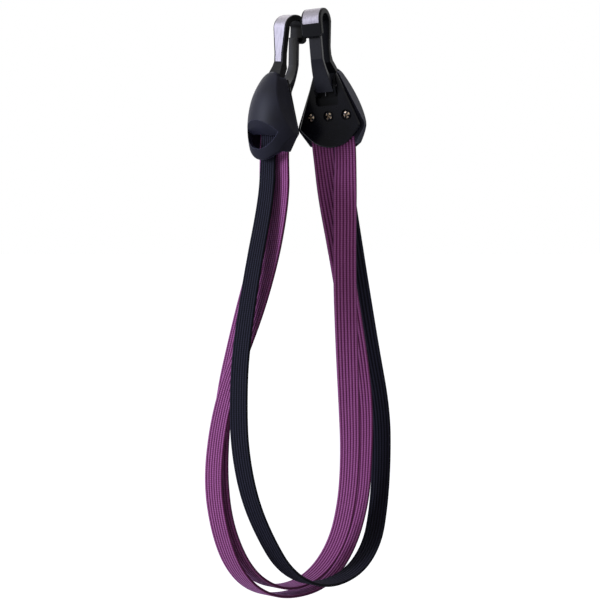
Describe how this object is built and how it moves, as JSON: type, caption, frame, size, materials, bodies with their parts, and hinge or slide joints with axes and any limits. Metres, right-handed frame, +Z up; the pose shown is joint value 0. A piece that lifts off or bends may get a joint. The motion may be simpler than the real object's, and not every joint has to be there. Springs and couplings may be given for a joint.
{
  "type": "elastic hook strap",
  "caption": "Elastic strap of flat woven bands hung in a loop, with a domed plastic head and a gated snap hook at each end.",
  "frame": {"origin": "centre of the left hook's seat, the middle of its curl", "axes": "+X to the right, +Y away from the viewer, +Z up as the strap hangs"},
  "size_m": [0.1229, 0.1289, 0.382],
  "materials": {
    "moulded_black": "gloss",
    "soft_touch_black": "matte",
    "nylon_hook": "satin",
    "nylon_gate": "satin",
    "satin_steel": "brushed",
    "black_steel": "blackened",
    "spring_steel": "drawn wire",
    "band_black": "woven",
    "band_purple": "woven"
  },
  "bodies": {
    "strap": {"left_cover": "soft_touch_black", "left_back_plate": "moulded_black", "left_hook": "nylon_hook", "left_hook_strip": "satin_steel", "left_gate_pin": "satin_steel", "left_clamp_bar": "satin_steel", "left_plate_screws": "black_steel", "right_cover": "soft_touch_black", "right_back_plate": "moulded_black", "right_hook": "nylon_hook", "right_hook_strip": "satin_steel", "right_gate_pin": "satin_steel", "right_clamp_bar": "satin_steel", "right_plate_screws": "black_steel", "band_black": "band_black", "band_purple_front": "band_purple", "band_purple_rear": "band_purple"},
    "left_gate_body": {"left_gate": "nylon_gate", "left_gate_spring": "spring_steel"},
    "right_gate_body": {"right_gate": "nylon_gate", "right_gate_spring": "spring_steel"}
  },
  "joints": [
    {"name": "left_gate_hinge", "type": "hinge", "parent": "strap", "child": "left_gate_body", "pos_m": [-0.00588, -0.00337, -0.04032], "axis": [0.6014, -0.7986, -0.021], "range_deg": [0, 11], "stiffness_Nm_per_rad": 0.25, "springref_deg": -22.92},
    {"name": "right_gate_hinge", "type": "hinge", "parent": "strap", "child": "right_gate_body", "pos_m": [0.02274, -0.01093, -0.03689], "axis": [-0.9021, 0.4226, -0.0869], "range_deg": [0, 11], "stiffness_Nm_per_rad": 0.25, "springref_deg": -22.92}
  ]
}
